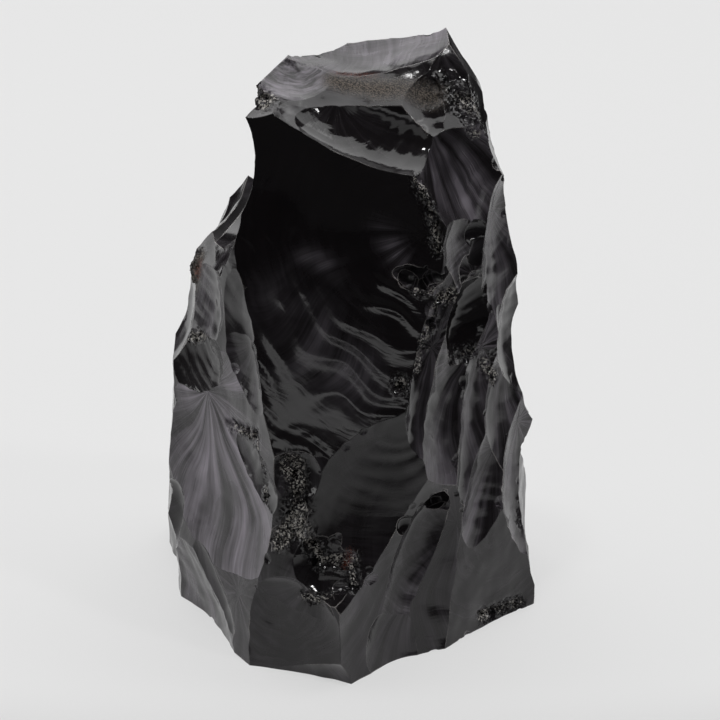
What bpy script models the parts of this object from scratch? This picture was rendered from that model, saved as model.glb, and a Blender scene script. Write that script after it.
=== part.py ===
"""Obsidian chunk: one piece of black volcanic glass, broken to shape.

The stone is made the way it broke.  A blank with flat sides is cut from a
cube, then flakes are struck off it.  Each flake leaves a shallow scoop, and
neighbouring scoops meet in sharp ridges.
"""
import bpy
import bmesh
import math
from collections import namedtuple
from mathutils import Matrix, Vector

MM = 0.001

# A Plane cuts the blank: `at` is a point on it in mm, `faces` is the side it
# looks to as (turn, rise) in degrees.  Turn 0 is the front, 90 the right,
# -90 the left and 180 the back; rise 90 looks straight up.
Plane = namedtuple("Plane", "name at faces")

# A Scar is one scoop.  `at` is the middle of its floor in mm and `faces` the
# side that floor looks to.  `bend` holds the floor's two radii in mm, along
# and across the scoop.  `lean` turns the long way clockwise from upright in
# degrees.  `reach` is half the depth of the flake that came off, in mm.
Scar = namedtuple("Scar", "name at faces bend lean reach")

# Every cut that shaped the stone, from the block to the last flake.
BLANK = [
    Plane("base", (0, 0, 0), (0, -90)),
    Plane("crown", (20, 10, 145.5), (0, 90)),
    Plane("left", (-46.8, 20, 0), (-88, 4)),
    Plane("left_shoulder", (-37, 0, 87.5), (-100, 19)),
    Plane("crown_left", (-20, -6.5, 135.6), (-107, 40)),
    Plane("crown_right", (30.5, 4, 132), (88, 30)),
    Plane("right", (46.6, 0, 14), (90, 1)),
    Plane("right_upper", (38.5, 0, 105), (98, 8)),
    Plane("back", (0, 46, 15), (180, 8)),
    Plane("back_upper", (0, 12, 141), (178, 20)),
    Plane("back_left", (-38, 42, 15), (-140, 8)),
    Plane("back_right", (38, 34, 15), (132, 10)),
    Plane("front", (0, -55, 0), (-6, 13)),
    Plane("front_left", (-31, -27, 0), (-57, 4)),
    Plane("front_right", (35, -24, 0), (42, 2)),
    Plane("nose_left", (-12, -45.5, 0), (-27, 3)),
]
SCARS = [
    # front
    Scar("front_face", (-2, -27, 94), (-10, 15), (190, 240), 0, 60),
    Scar("column_left", (-15, -6, 117), (-110, 5), (46, 100), 0, 12),
    # crown
    Scar("crown_scoop", (7, -13.8, 125.2), (5, 44), (60, 14), 112, 10),
    Scar("crown_flute", (-7.5, -12, 132), (14, 52), (22, 40), 70, 10),
    Scar("crown_band", (6.2, -6.2, 134), (-3, 55), (60, 80), 90, 14),
    Scar("crown_top", (6, 2, 137.3), (-26, 79), (50, 60), 90, 16),
    Scar("crown_shell", (-9.5, -3.5, 135.6), (4, 60), (22, 24), 0, 12),
    Scar("crown_corner", (-18.4, -13.1, 134.2), (-24, 50), (16, 14), 0, 8),
    Scar("crown_facet", (24.8, -4, 133.4), (30, 34), (60, 40), 0, 16),
    Scar("crown_knee", (18.3, -9.4, 129.7), (23, 45), (24, 16), -20, 8),
    Scar("crown_wedge", (31.5, 2, 128.3), (72, 25), (40, 30), 0, 12),
    # right upper
    Scar("right_flute", (24, -15.5, 116), (50, 23), (90, 26), -35, 22),
    Scar("right_neck", (35, 4, 119), (80, 16), (30, 40), 0, 10),
    Scar("right_step", (26, -20.5, 101), (50, 0), (40, 16), 0, 10),
    Scar("right_cave", (27, -13, 80), (38, 5), (14, 9), 15, 14),
    Scar("right_slot", (28.8, -15.5, 96.5), (50, 0), (22, 1.6), 12, 8),
    Scar("right_wing", (35, -4, 94), (62, 2), (60, 24), 0, 12),
    Scar("right_nick", (37.5, -2, 92), (72, 10), (12, 16), 0, 6),
    Scar("flank_flute", (37, -5, 83), (64, 0), (40, 7), 12, 8),
    Scar("right_flank", (37.5, 0, 74), (70, -4), (34, 20), 15, 12),
    Scar("right_waist", (38.5, 10, 60), (98, 4), (34, 60), 0, 10),
    Scar("ledge_cave", (17.5, -25, 98), (10, -18), (1.0, 14), 4, 6),
    Scar("ledge_lip", (21.5, -27.6, 93.2), (-12, 45), (4, 9), 0, 3),
    # lower front
    Scar("centre_face", (8.5, -36.5, 47), (12, -1), (60, 50), -20, 20),
    Scar("front_foot", (14, -34.2, 16), (35, 3), (110, 60), 25, 26),
    Scar("foot_flute", (9.5, -38, 9), (44, 6), (160, 14), 25, 8),
    Scar("nose_notch", (9, -38.5, 2), (42, 14), (30, 20), 10, 8),
    Scar("right_foot", (35.5, -18, 9), (44, 4), (120, 200), 0, 20),
    Scar("heel_chip", (35, -21, -1), (45, -30), (20, 5), 90, 4),
    Scar("left_foot", (-13, -42, 5), (-26, 8), (50, 60), 90, 10),
    Scar("foot_panel", (-13, -42.4, 12), (-24, 13), (34, 40), 0, 6),
    Scar("foot_rim", (-9, -44, 2), (-20, -16), (14, 90), 0, 6),
    Scar("bowl", (-3.5, -41, 28), (-5, 14), (10, 13), 0, 9),
    Scar("crush_upper", (-11, -39, 52), (-10, 5), (12, 10), 0, 6),
    Scar("crush_lower", (-13, -42, 38), (-24, 0), (20, 8), -20, 6),
    Scar("left_flank", (-27, -25, 34), (-57, 9), (160, 160), 20, 26),
    Scar("left_skirt", (-31.5, -22, 5), (-65, -3), (120, 100), 60, 12),
    Scar("left_skirt_back", (-43, 10, 5), (-80, -2), (60, 160), 0, 12),
    Scar("skirt_notch", (-40, -3, 20), (-72, 10), (30, 9), 20, 6),
    Scar("skirt_blade", (-30.5, -23, 13), (-58, 2), (60, 8), -45, 6),
    # right lower
    Scar("blade_left", (17, -31, 67), (42, 12), (110, 8), 20, 10),
    Scar("blade_main", (23, -26.5, 56), (46, 12), (90, 22), 18, 18),
    Scar("blade_mid", (29.5, -19, 54), (52, 8), (150, 11), 18, 14),
    Scar("blade_right", (36, -10, 53), (58, 8), (60, 18), 18, 14),
    Scar("blade_tail", (41, -6, 32), (60, 8), (90, 20), 10, 12),
    Scar("blade_low", (31, -20, 32), (50, 6), (120, 12), 20, 12),
    # left side
    Scar("left_crest", (-28, -7, 98), (-70, 28), (40, 34), 0, 10),
    Scar("left_brow", (-28.3, 4, 98), (-106, 36), (44, 60), 0, 10),
    Scar("left_shell", (-31.5, -10, 83), (-67, 4), (34, 30), 10, 12),
    Scar("left_hollow", (-33, -12.5, 62), (-62, 14), (30, 34), 0, 12),
    Scar("left_groove", (-24.5, -24, 80), (-50, 8), (60, 20), -10, 10),
    Scar("left_panel", (-24, -27.5, 64), (-42, 18), (60, 16), -20, 10),
    Scar("left_ledge", (-21.5, -30, 46), (-50, 18), (50, 12), -62, 10),
    Scar("left_edge", (-37, 4, 74), (-80, 10), (24, 30), 0, 12),
    Scar("left_side_low", (-43, 16, 24), (-86, 6), (90, 60), 10, 14),
    Scar("left_side_mid", (-41.5, 20, 50), (-92, 2), (60, 50), -15, 12),
    Scar("left_side_high", (-37.5, 18, 72), (-96, 16), (50, 50), 10, 12),
    Scar("left_side_top", (-31, 12, 92), (-104, 20), (40, 50), 0, 10),
    Scar("left_heel", (-45.5, 30, 6), (-95, -8), (40, 40), 0, 8),
    Scar("right_side_low", (42.5, 8, 20), (86, 4), (80, 60), 0, 14),
    Scar("right_side_mid", (42.5, 20, 40), (97, 0), (60, 50), 20, 12),
    Scar("right_side_high", (38, 16, 82), (100, 6), (70, 50), -10, 12),
    Scar("right_side_top", (34.5, 14, 104), (98, 18), (50, 50), 10, 12),
    Scar("right_side_crown", (33.5, 9, 120), (100, 22), (40, 40), 0, 10),
    Scar("back_low_left", (-15, 43, 18), (188, 6), (90, 60), 10, 16),
    Scar("back_low_right", (16, 43.5, 22), (170, 12), (150, 110), -20, 16),
    Scar("back_mid", (-2, 38.5, 50), (184, 2), (60, 50), 30, 14),
    Scar("back_mid_right", (20, 35, 58), (160, 8), (80, 50), -15, 14),
    Scar("back_mid_left", (-20, 35, 56), (200, 14), (130, 90), 20, 14),
    Scar("back_high", (2, 30, 84), (178, 24), (70, 110), 0, 14),
    Scar("back_high_right", (16, 24, 98), (158, 16), (60, 40), 20, 12),
    Scar("back_high_left", (-14, 24, 100), (204, 20), (60, 50), -20, 12),
    Scar("back_crown", (4, 11.8, 123), (182, 14), (50, 60), 0, 12),
    Scar("back_crown_right", (20, 14, 124), (150, 30), (40, 40), 30, 10),
    Scar("back_crown_left", (-9, 9, 127), (208, 26), (50, 40), 0, 12),
    Scar("back_chip_low", (6, 41.5, 34), (176, -10), (24, 20), 0, 10),
    Scar("back_chip_high", (-4, 33, 68), (190, 30), (20, 26), 40, 8),
    Scar("back_heel", (-4, 45, 5), (182, -20), (40, 30), 90, 8),
    Scar("corner_left_low", (-39, 36.5, 22), (-135, 4), (160, 100), 0, 14),
    Scar("corner_left_mid", (-37, 33, 50), (-142, 14), (60, 70), -20, 14),
    Scar("corner_left_high", (-30, 28, 80), (-130, 20), (60, 50), 15, 14),
    Scar("corner_right_low", (37, 30, 20), (135, 6), (90, 60), 15, 14),
    Scar("corner_right_mid", (33.5, 27, 50), (128, 12), (90, 120), -15, 14),
    Scar("corner_right_high", (30, 22, 80), (136, 14), (60, 50), 10, 12),
    Scar("corner_right_top", (28, 18, 104), (126, 20), (50, 40), -20, 12),
    Scar("corner_heel", (40, 24, 8), (120, -15), (30, 30), 0, 8),
]
# The cuts end here.

ROUND_STEPS = 14        # sides of a scoop's rim
DEEP_STEPS = 9          # rings from a scoop's floor to the back of the flake
FLOOR_GATHER = 1.5      # above 1 the rings crowd toward the floor
SMALL_REACH = 10        # scoops this shallow are cut with fewer sides
SMALL_ROUND_STEPS = 12
WELD = 0.00004          # corners closer than this become one corner


def facing(turn, rise):
    """Unit vector for a (turn, rise) pair in degrees."""
    t, r = math.radians(turn), math.radians(rise)
    return Vector((math.sin(t) * math.cos(r), -math.cos(t) * math.cos(r), math.sin(r)))


def scar_frame(scar):
    """Long, cross and outward directions of a scar's floor."""
    out = facing(*scar.faces)
    turn, lean = math.radians(scar.faces[0]), math.radians(scar.lean)
    side = Vector((math.cos(turn), math.sin(turn), 0))
    up = out.cross(side)
    if up.z < 0:
        up.negate()
    along = up * math.cos(lean) + side * math.sin(lean)
    return along, out.cross(along), out


def add_object(name, bm):
    mesh = bpy.data.meshes.new(name)
    bm.to_mesh(mesh)
    bm.free()
    thing = bpy.data.objects.new(name, mesh)
    bpy.context.collection.objects.link(thing)
    return thing


def cut_blank(name):
    """A cube with every Plane's outer side sliced off and closed again."""
    bm = bmesh.new()
    bmesh.ops.create_cube(bm, size=1)
    bmesh.ops.scale(bm, vec=(200 * MM, 200 * MM, 400 * MM), verts=bm.verts)
    for plane in BLANK:
        cut = bmesh.ops.bisect_plane(
            bm, geom=bm.verts[:] + bm.edges[:] + bm.faces[:], dist=1e-7,
            plane_co=Vector(plane.at) * MM, plane_no=facing(*plane.faces),
            clear_outer=True)
        rim = [e for e in cut["geom_cut"] if isinstance(e, bmesh.types.BMEdge)]
        if rim:
            bmesh.ops.edgenet_fill(bm, edges=rim)
    bmesh.ops.remove_doubles(bm, verts=bm.verts, dist=1e-6)
    bmesh.ops.recalc_face_normals(bm, faces=bm.faces)
    return add_object(name, bm)


def flake(scar):
    """The flake that leaves a scar: an egg whose lowest point is the floor."""
    steps = SMALL_ROUND_STEPS if scar.reach <= SMALL_REACH else ROUND_STEPS
    bm = bmesh.new()
    bmesh.ops.create_uvsphere(bm, u_segments=steps, v_segments=DEEP_STEPS, radius=1)
    for vert in bm.verts:
        down = math.acos(max(-1, min(1, -vert.co.z)))
        swing = math.atan2(vert.co.y, vert.co.x)
        tip = math.pi * (down / math.pi) ** FLOOR_GATHER
        vert.co = (math.sin(tip) * math.cos(swing), math.sin(tip) * math.sin(swing),
                   -math.cos(tip))
    along, across, out = scar_frame(scar)
    half_long = math.sqrt(scar.bend[0] * scar.reach) * MM
    half_wide = math.sqrt(scar.bend[1] * scar.reach) * MM
    deep = scar.reach * MM
    middle = Vector(scar.at) * MM + out * deep
    turned = Matrix((along * half_long, across * half_wide, out * deep)).transposed()
    bm.transform(Matrix.Translation(middle) @ turned.to_4x4())
    cutter = add_object("flake_" + scar.name, bm)
    cutter.hide_render = True
    cutter.display_type = 'WIRE'
    return cutter


def strike(stone, scar):
    cutter = flake(scar)
    cut = stone.modifiers.new("strike_" + scar.name, 'BOOLEAN')
    cut.operation = 'DIFFERENCE'
    cut.solver = 'EXACT'
    cut.object = cutter
    with bpy.context.temp_override(object=stone, active_object=stone):
        bpy.ops.object.modifier_apply(modifier=cut.name)
    bpy.data.objects.remove(cutter)


def tidy_faces(stone):
    """Welds the crumbs the cuts leave and splits faces into triangles."""
    bm = bmesh.new()
    bm.from_mesh(stone.data)
    bmesh.ops.remove_doubles(bm, verts=bm.verts, dist=WELD)
    bmesh.ops.dissolve_degenerate(bm, edges=bm.edges, dist=WELD)
    bmesh.ops.triangulate(bm, faces=bm.faces)
    bmesh.ops.recalc_face_normals(bm, faces=bm.faces)
    bm.to_mesh(stone.data)
    print("triangles:", len(bm.faces))
    bm.free()


def black_glass():
    glass = bpy.data.materials.new("obsidian")
    glass.use_nodes = True
    shader = glass.node_tree.nodes["Principled BSDF"]
    shader.inputs["Base Color"].default_value = (0.012, 0.011, 0.012, 1)
    shader.inputs["Roughness"].default_value = 0.18
    shader.inputs["IOR"].default_value = 1.49
    return glass


for old in list(bpy.data.objects):
    bpy.data.objects.remove(old)

chunk = cut_blank("obsidian_chunk")
for scar in SCARS:
    strike(chunk, scar)
tidy_faces(chunk)
chunk.data.materials.append(black_glass())
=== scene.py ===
# %% [markdown]
# # A chunk of obsidian
# Obsidian is lava that cooled so fast that it froze into black glass.  Glass
# has no grain, so a blow takes off a shallow curved flake and leaves a smooth
# scoop, called a scar.  A broken chunk is nothing but such scars, and where
# two of them meet there is a ridge as sharp as a knife.
#
# A sculpting brush or a noise texture would give soft lumps.  So the stone is
# made here the way it broke: a block is sliced to a rough shape, and then each
# flake is cut from it with a Boolean.  The ridges come by themselves.

# %% The frame
import math
from collections import namedtuple

import bmesh
import bpy
import numpy as np
from mathutils import Matrix, Vector, noise


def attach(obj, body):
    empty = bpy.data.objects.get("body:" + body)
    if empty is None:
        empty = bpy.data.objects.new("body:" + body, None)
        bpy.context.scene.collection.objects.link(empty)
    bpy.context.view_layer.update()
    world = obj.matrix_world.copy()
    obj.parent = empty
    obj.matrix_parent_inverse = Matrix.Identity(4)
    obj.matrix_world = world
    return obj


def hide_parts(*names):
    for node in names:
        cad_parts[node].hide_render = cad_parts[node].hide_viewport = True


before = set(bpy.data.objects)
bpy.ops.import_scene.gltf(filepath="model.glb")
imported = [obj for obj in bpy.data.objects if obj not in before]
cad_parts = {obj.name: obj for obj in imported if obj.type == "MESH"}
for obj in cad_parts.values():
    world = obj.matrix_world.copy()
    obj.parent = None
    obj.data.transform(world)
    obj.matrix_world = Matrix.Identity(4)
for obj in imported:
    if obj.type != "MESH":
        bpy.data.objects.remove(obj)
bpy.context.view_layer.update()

CAD_NODE = "obsidian_chunk"
MM = 0.001

# %% [markdown]
# ## The list of cuts
# A `Plane` slices the block.  A `Scar` is one scoop: `at` is the middle of its
# floor in mm, and `faces` is the side it looks to, as turn and rise in degrees
# (turn 0 is the front, 90 the right, rise 90 is straight up).  `bend` holds
# the two radii of its floor, along and across, in mm.  `lean` turns the long
# way clockwise from upright.  `reach` is half the depth of the flake.

# %% Planes and scars
Plane = namedtuple("Plane", "name at faces")
Scar = namedtuple("Scar", "name at faces bend lean reach")

BLANK = [
    Plane("base", (0, 0, 0), (0, -90)),
    Plane("crown", (20, 10, 145.5), (0, 90)),
    Plane("left", (-46.8, 20, 0), (-88, 4)),
    Plane("left_shoulder", (-37, 0, 87.5), (-100, 19)),
    Plane("crown_left", (-20, -6.5, 135.6), (-107, 40)),
    Plane("crown_right", (30.5, 4, 132), (88, 30)),
    Plane("right", (46.6, 0, 14), (90, 1)),
    Plane("right_upper", (38.5, 0, 105), (98, 8)),
    Plane("back", (0, 46, 15), (180, 8)),
    Plane("back_upper", (0, 12, 141), (178, 20)),
    Plane("back_left", (-38, 42, 15), (-140, 8)),
    Plane("back_right", (38, 34, 15), (132, 10)),
    Plane("front", (0, -55, 0), (-6, 13)),
    Plane("front_left", (-31, -27, 0), (-57, 4)),
    Plane("front_right", (35, -24, 0), (42, 2)),
    Plane("nose_left", (-12, -45.5, 0), (-27, 3)),
]
SCARS = [
    # front
    Scar("front_face", (-2, -27, 94), (-10, 15), (190, 240), 0, 60),
    Scar("column_left", (-15, -6, 117), (-110, 5), (46, 100), 0, 12),
    # crown
    Scar("crown_scoop", (7, -13.8, 125.2), (5, 44), (60, 14), 112, 10),
    Scar("crown_flute", (-7.5, -12, 132), (14, 52), (22, 40), 70, 10),
    Scar("crown_band", (6.2, -6.2, 134), (-3, 55), (60, 80), 90, 14),
    Scar("crown_top", (6, 2, 137.3), (-26, 79), (50, 60), 90, 16),
    Scar("crown_shell", (-9.5, -3.5, 135.6), (4, 60), (22, 24), 0, 12),
    Scar("crown_corner", (-18.4, -13.1, 134.2), (-24, 50), (16, 14), 0, 8),
    Scar("crown_facet", (24.8, -4, 133.4), (30, 34), (60, 40), 0, 16),
    Scar("crown_knee", (18.3, -9.4, 129.7), (23, 45), (24, 16), -20, 8),
    Scar("crown_wedge", (31.5, 2, 128.3), (72, 25), (40, 30), 0, 12),
    # right upper
    Scar("right_flute", (24, -15.5, 116), (50, 23), (90, 26), -35, 22),
    Scar("right_neck", (35, 4, 119), (80, 16), (30, 40), 0, 10),
    Scar("right_step", (26, -20.5, 101), (50, 0), (40, 16), 0, 10),
    Scar("right_cave", (27, -13, 80), (38, 5), (14, 9), 15, 14),
    Scar("right_slot", (28.8, -15.5, 96.5), (50, 0), (22, 1.6), 12, 8),
    Scar("right_wing", (35, -4, 94), (62, 2), (60, 24), 0, 12),
    Scar("right_nick", (37.5, -2, 92), (72, 10), (12, 16), 0, 6),
    Scar("flank_flute", (37, -5, 83), (64, 0), (40, 7), 12, 8),
    Scar("right_flank", (37.5, 0, 74), (70, -4), (34, 20), 15, 12),
    Scar("right_waist", (38.5, 10, 60), (98, 4), (34, 60), 0, 10),
    Scar("ledge_cave", (17.5, -25, 98), (10, -18), (1.0, 14), 4, 6),
    Scar("ledge_lip", (21.5, -27.6, 93.2), (-12, 45), (4, 9), 0, 3),
    # lower front
    Scar("centre_face", (8.5, -36.5, 47), (12, -1), (60, 50), -20, 20),
    Scar("front_foot", (14, -34.2, 16), (35, 3), (110, 60), 25, 26),
    Scar("foot_flute", (9.5, -38, 9), (44, 6), (160, 14), 25, 8),
    Scar("nose_notch", (9, -38.5, 2), (42, 14), (30, 20), 10, 8),
    Scar("right_foot", (35.5, -18, 9), (44, 4), (120, 200), 0, 20),
    Scar("heel_chip", (35, -21, -1), (45, -30), (20, 5), 90, 4),
    Scar("left_foot", (-13, -42, 5), (-26, 8), (50, 60), 90, 10),
    Scar("foot_panel", (-13, -42.4, 12), (-24, 13), (34, 40), 0, 6),
    Scar("foot_rim", (-9, -44, 2), (-20, -16), (14, 90), 0, 6),
    Scar("bowl", (-3.5, -41, 28), (-5, 14), (10, 13), 0, 9),
    Scar("crush_upper", (-11, -39, 52), (-10, 5), (12, 10), 0, 6),
    Scar("crush_lower", (-13, -42, 38), (-24, 0), (20, 8), -20, 6),
    Scar("left_flank", (-27, -25, 34), (-57, 9), (160, 160), 20, 26),
    Scar("left_skirt", (-31.5, -22, 5), (-65, -3), (120, 100), 60, 12),
    Scar("left_skirt_back", (-43, 10, 5), (-80, -2), (60, 160), 0, 12),
    Scar("skirt_notch", (-40, -3, 20), (-72, 10), (30, 9), 20, 6),
    Scar("skirt_blade", (-30.5, -23, 13), (-58, 2), (60, 8), -45, 6),
    # right lower
    Scar("blade_left", (17, -31, 67), (42, 12), (110, 8), 20, 10),
    Scar("blade_main", (23, -26.5, 56), (46, 12), (90, 22), 18, 18),
    Scar("blade_mid", (29.5, -19, 54), (52, 8), (150, 11), 18, 14),
    Scar("blade_right", (36, -10, 53), (58, 8), (60, 18), 18, 14),
    Scar("blade_tail", (41, -6, 32), (60, 8), (90, 20), 10, 12),
    Scar("blade_low", (31, -20, 32), (50, 6), (120, 12), 20, 12),
    # left side
    Scar("left_crest", (-28, -7, 98), (-70, 28), (40, 34), 0, 10),
    Scar("left_brow", (-28.3, 4, 98), (-106, 36), (44, 60), 0, 10),
    Scar("left_shell", (-31.5, -10, 83), (-67, 4), (34, 30), 10, 12),
    Scar("left_hollow", (-33, -12.5, 62), (-62, 14), (30, 34), 0, 12),
    Scar("left_groove", (-24.5, -24, 80), (-50, 8), (60, 20), -10, 10),
    Scar("left_panel", (-24, -27.5, 64), (-42, 18), (60, 16), -20, 10),
    Scar("left_ledge", (-21.5, -30, 46), (-50, 18), (50, 12), -62, 10),
    Scar("left_edge", (-37, 4, 74), (-80, 10), (24, 30), 0, 12),
    Scar("left_side_low", (-43, 16, 24), (-86, 6), (90, 60), 10, 14),
    Scar("left_side_mid", (-41.5, 20, 50), (-92, 2), (60, 50), -15, 12),
    Scar("left_side_high", (-37.5, 18, 72), (-96, 16), (50, 50), 10, 12),
    Scar("left_side_top", (-31, 12, 92), (-104, 20), (40, 50), 0, 10),
    Scar("left_heel", (-45.5, 30, 6), (-95, -8), (40, 40), 0, 8),
    Scar("right_side_low", (42.5, 8, 20), (86, 4), (80, 60), 0, 14),
    Scar("right_side_mid", (42.5, 20, 40), (97, 0), (60, 50), 20, 12),
    Scar("right_side_high", (38, 16, 82), (100, 6), (70, 50), -10, 12),
    Scar("right_side_top", (34.5, 14, 104), (98, 18), (50, 50), 10, 12),
    Scar("right_side_crown", (33.5, 9, 120), (100, 22), (40, 40), 0, 10),
    Scar("back_low_left", (-15, 43, 18), (188, 6), (90, 60), 10, 16),
    Scar("back_low_right", (16, 43.5, 22), (170, 12), (150, 110), -20, 16),
    Scar("back_mid", (-2, 38.5, 50), (184, 2), (60, 50), 30, 14),
    Scar("back_mid_right", (20, 35, 58), (160, 8), (80, 50), -15, 14),
    Scar("back_mid_left", (-20, 35, 56), (200, 14), (130, 90), 20, 14),
    Scar("back_high", (2, 30, 84), (178, 24), (70, 110), 0, 14),
    Scar("back_high_right", (16, 24, 98), (158, 16), (60, 40), 20, 12),
    Scar("back_high_left", (-14, 24, 100), (204, 20), (60, 50), -20, 12),
    Scar("back_crown", (4, 11.8, 123), (182, 14), (50, 60), 0, 12),
    Scar("back_crown_right", (20, 14, 124), (150, 30), (40, 40), 30, 10),
    Scar("back_crown_left", (-9, 9, 127), (208, 26), (50, 40), 0, 12),
    Scar("back_chip_low", (6, 41.5, 34), (176, -10), (24, 20), 0, 10),
    Scar("back_chip_high", (-4, 33, 68), (190, 30), (20, 26), 40, 8),
    Scar("back_heel", (-4, 45, 5), (182, -20), (40, 30), 90, 8),
    Scar("corner_left_low", (-39, 36.5, 22), (-135, 4), (160, 100), 0, 14),
    Scar("corner_left_mid", (-37, 33, 50), (-142, 14), (60, 70), -20, 14),
    Scar("corner_left_high", (-30, 28, 80), (-130, 20), (60, 50), 15, 14),
    Scar("corner_right_low", (37, 30, 20), (135, 6), (90, 60), 15, 14),
    Scar("corner_right_mid", (33.5, 27, 50), (128, 12), (90, 120), -15, 14),
    Scar("corner_right_high", (30, 22, 80), (136, 14), (60, 50), 10, 12),
    Scar("corner_right_top", (28, 18, 104), (126, 20), (50, 40), -20, 12),
    Scar("corner_heel", (40, 24, 8), (120, -15), (30, 30), 0, 8),
]
print(len(BLANK), "planes and", len(SCARS), "scars")

# %% [markdown]
# ## How each scar broke
# A crack in glass starts at the point that was struck and runs out from it
# like a wave.  It leaves ripples round that point, closer or wider, and fine
# straight streaks that run away from it.  A fast crack leaves a mirror face, a
# slower or shaken one leaves a satin face.  `struck` is that point in mm,
# `ripple` the height of the ripples and `gap` their spacing in mm, `satin`
# runs from 0 for mirror to 1 for satin, and `streak` is how strong the
# streaks are.

# %% Breaks
Break = namedtuple("Break", "struck ripple gap satin streak")
BREAKS = {
    "front_face": Break((18, -28.5, 107), 0.20, 5.6, 0.12, 0.25),
    "crown_scoop": Break((-2, -8, 131), 0.10, 3.0, 0.25, 0.8),
    "crown_shell": Break((-13, 2, 139), 0.10, 2.2, 0.9, 0.15),
    "crown_flute": Break((3, -5, 132), 0.12, 2.6, 0.5, 1.0),
    "crown_top": Break((-14, 8, 138), 0.08, 5.0, 0.85, 0.3),
    "crown_facet": Break((20, 4, 138), 0.05, 4.0, 0.5, 0.4),
    "right_flute": Break((15, -13, 129), 0.14, 5.5, 0.8, 1.0),
    "right_step": Break((22, -24, 110), 0.05, 3.0, 0.7, 0.3),
    "right_wing": Break((34, -4, 104), 0.10, 4.0, 0.7, 0.6),
    "right_flank": Break((38, 2, 88), 0.14, 3.4, 0.6, 0.8),
    "right_cave": Break((27, -13, 92), 0.10, 2.6, 0.1, 0.3),
    "blade_left": Break((22, -28, 78), 0.10, 4.0, 0.8, 1.0),
    "blade_main": Break((32, -18, 74), 0.14, 5.0, 0.9, 1.0),
    "blade_mid": Break((34, -14, 72), 0.12, 4.5, 0.8, 1.0),
    "blade_right": Break((38, -4, 68), 0.12, 4.5, 0.8, 0.9),
    "blade_tail": Break((43, -4, 48), 0.12, 3.8, 0.7, 0.7),
    "blade_low": Break((36, -14, 46), 0.12, 3.8, 0.7, 0.9),
    "centre_face": Break((12, -37, 62), 0.13, 3.4, 0.3, 0.3),
    "front_foot": Break((26, -26, 32), 0.07, 8.0, 0.45, 0.5),
    "foot_flute": Break((24, -27, 30), 0.05, 6.0, 0.6, 0.3),
    "right_foot": Break((36, -17, 26), 0.04, 6.0, 0.3, 0.2),
    "left_foot": Break((-16, -41, 22), 0.05, 4.0, 0.35, 0.2),
    "left_flank": Break((-33.5, -13, 60), 0.08, 9.0, 1.0, 0.9),
    "left_shell": Break((-31, -10, 95), 0.10, 3.6, 0.7, 0.4),
    "left_hollow": Break((-31, -15, 74), 0.14, 2.6, 0.2, 0.3),
    "left_groove": Break((-22, -24, 96), 0.10, 4.0, 0.4, 0.8),
    "left_panel": Break((-21, -28, 80), 0.10, 3.2, 0.5, 0.9),
    "left_skirt": Break((-38, -9, 22), 0.08, 4.0, 0.6, 0.6),
    "bowl": Break((-3, -41, 37), 0.16, 2.2, 0.2, 0.4),
}
USUAL = Break(None, 0.09, 4.2, 0.45, 0.45)
print(len(BREAKS), "scars have a break of their own")

# %% [markdown]
# ## Relief
# No real scar is a perfect scoop.  Three things bend its floor: a slow swell
# of the whole stone, the ripples of the break, and shallow flutes that run
# away from the blow.  They move the mesh itself and not only its shading, so
# that the ridges and the outline become uneven too.

# %% Directions of a floor
def scar_frame(mark):
    """Long, cross and outward directions of a floor.  A plane has no lean."""
    turn, rise = map(math.radians, mark.faces)
    lean = math.radians(getattr(mark, "lean", 0))
    out = Vector((math.sin(turn) * math.cos(rise), -math.cos(turn) * math.cos(rise),
                  math.sin(rise)))
    side = Vector((math.cos(turn), math.sin(turn), 0))
    up = out.cross(side)
    if up.z < 0:
        up.negate()
    along = up * math.cos(lean) + side * math.sin(lean)
    return along, out.cross(along), out


print("the front face looks to", [round(d, 2) for d in scar_frame(SCARS[0])[2]])

# %% Distance from the blow
USUAL_BLOW = 16                       # it falls this far up the long way, mm
ASIDE_STEP, ASIDE_STEPS = 4, 5        # and up to two steps to either side, mm


def struck_at(mark):
    """The struck point: its own, or one near the upper end of the floor."""
    broke = BREAKS.get(mark.name, USUAL)
    if broke.struck:
        return Vector(broke.struck)
    along, across, out = scar_frame(mark)
    aside = (len(mark.name) % ASIDE_STEPS - ASIDE_STEPS // 2) * ASIDE_STEP
    return Vector(mark.at) + along * USUAL_BLOW + across * aside


def spread_from_strike(mark, where):
    """Distance in mm and angle of points round the struck point."""
    out = np.array(scar_frame(mark)[2])
    struck = np.array(struck_at(mark))
    away = np.array(mark.at, float) - struck
    away -= out * (away @ out)
    ahead = away / max(np.linalg.norm(away), 1e-6)
    offset = where - struck
    x, y = offset @ ahead, offset @ np.cross(out, ahead)
    return np.hypot(x, y), np.arctan2(y, x)


# %% [markdown]
# Blender's own noise takes one point at a time.  The cutters have a few
# hundred thousand points, so a small value noise is written here that takes
# all the points of a floor at once.

# %% Smooth noise
SCRAMBLE = (73856093, 19349663, 83492791)     # large primes that mix up a cell's place
SCRAMBLE_NUMBER, STIR = 2654435, 1274126177
STIR_SHIFT, LOW_BITS, HALF_BITS = 13, 0xFFFFFF, 0x7FFFFF


def waves(points, number):
    """Smooth noise between -1 and 1 at many points at once."""
    cell = np.floor(points).astype(np.int64)
    part = points - cell
    part = part * part * (3 - 2 * part)
    total = np.zeros(len(points))
    for corner in np.ndindex(2, 2, 2):
        x, y, z = (cell + corner).T
        mixed = x * SCRAMBLE[0] ^ y * SCRAMBLE[1] ^ z * SCRAMBLE[2] ^ number * SCRAMBLE_NUMBER
        mixed = (mixed ^ (mixed >> STIR_SHIFT)) * STIR & LOW_BITS
        weight = np.prod(np.where(corner, part, 1 - part), axis=1)
        total += weight * (mixed / HALF_BITS - 1)
    return total


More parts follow.
